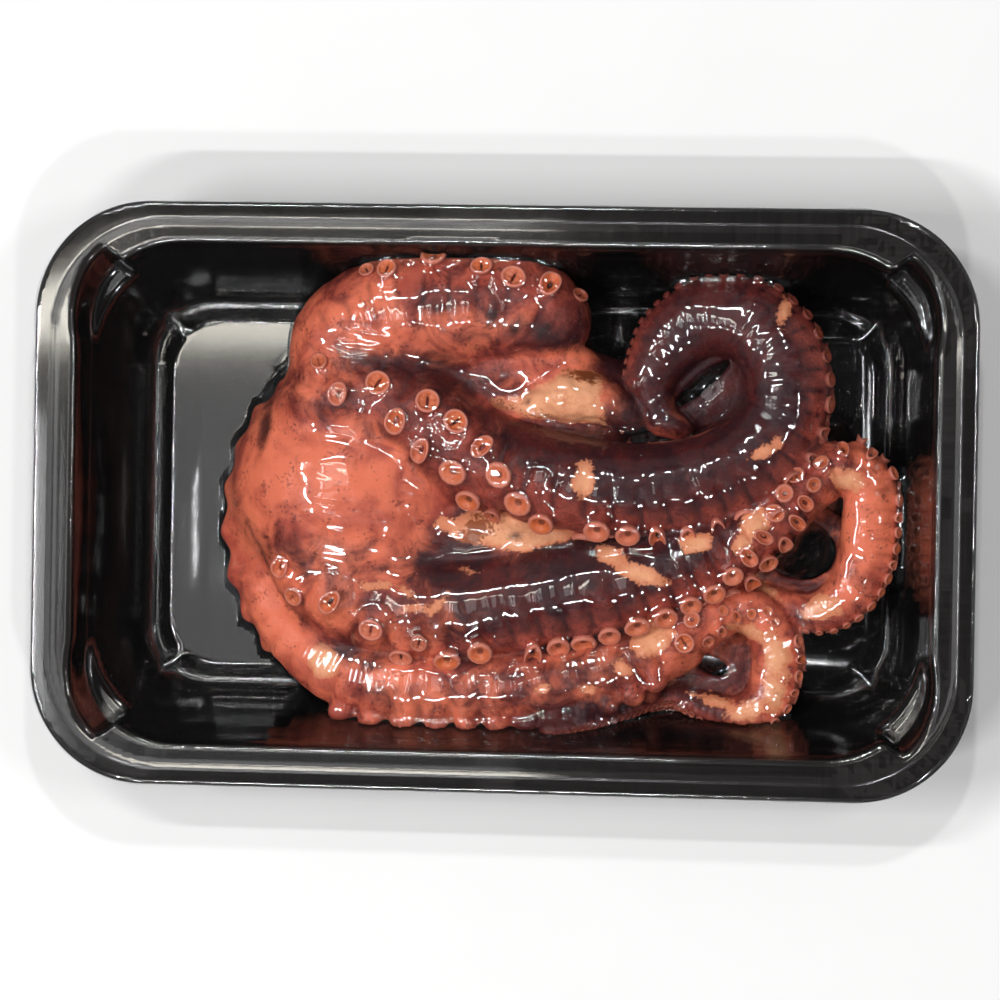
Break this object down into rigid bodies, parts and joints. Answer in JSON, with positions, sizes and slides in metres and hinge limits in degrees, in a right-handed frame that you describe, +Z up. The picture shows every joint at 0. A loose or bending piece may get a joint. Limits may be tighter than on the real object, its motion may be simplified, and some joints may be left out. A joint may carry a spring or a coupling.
{
  "type": "cooked octopus",
  "caption": "Cooked octopus arms with rows of suckers, joined by their web and coiled in a black plastic tray under clear skin-tight film.",
  "frame": {"origin": "on the supporting surface, under the middle of the tray", "axes": "+X along the tray's length towards the coiled arm tips, +Y across it, +Z up"},
  "size_m": [0.27, 0.166, 0.0389],
  "materials": {
    "black_plastic": "glossy black thermoformed sheet, brushed-looking on the flange",
    "octopus_flesh": "wet cooked skin, salmon orange at the web to dark purple along the arms, cream where the skin is rubbed off",
    "clear_film": "clear shrink film, thin and wrinkled, with sharp highlights"
  },
  "bodies": {
    "root": {"tray": "black_plastic", "octopus": "octopus_flesh", "film": "clear_film"}
  },
  "joints": []
}
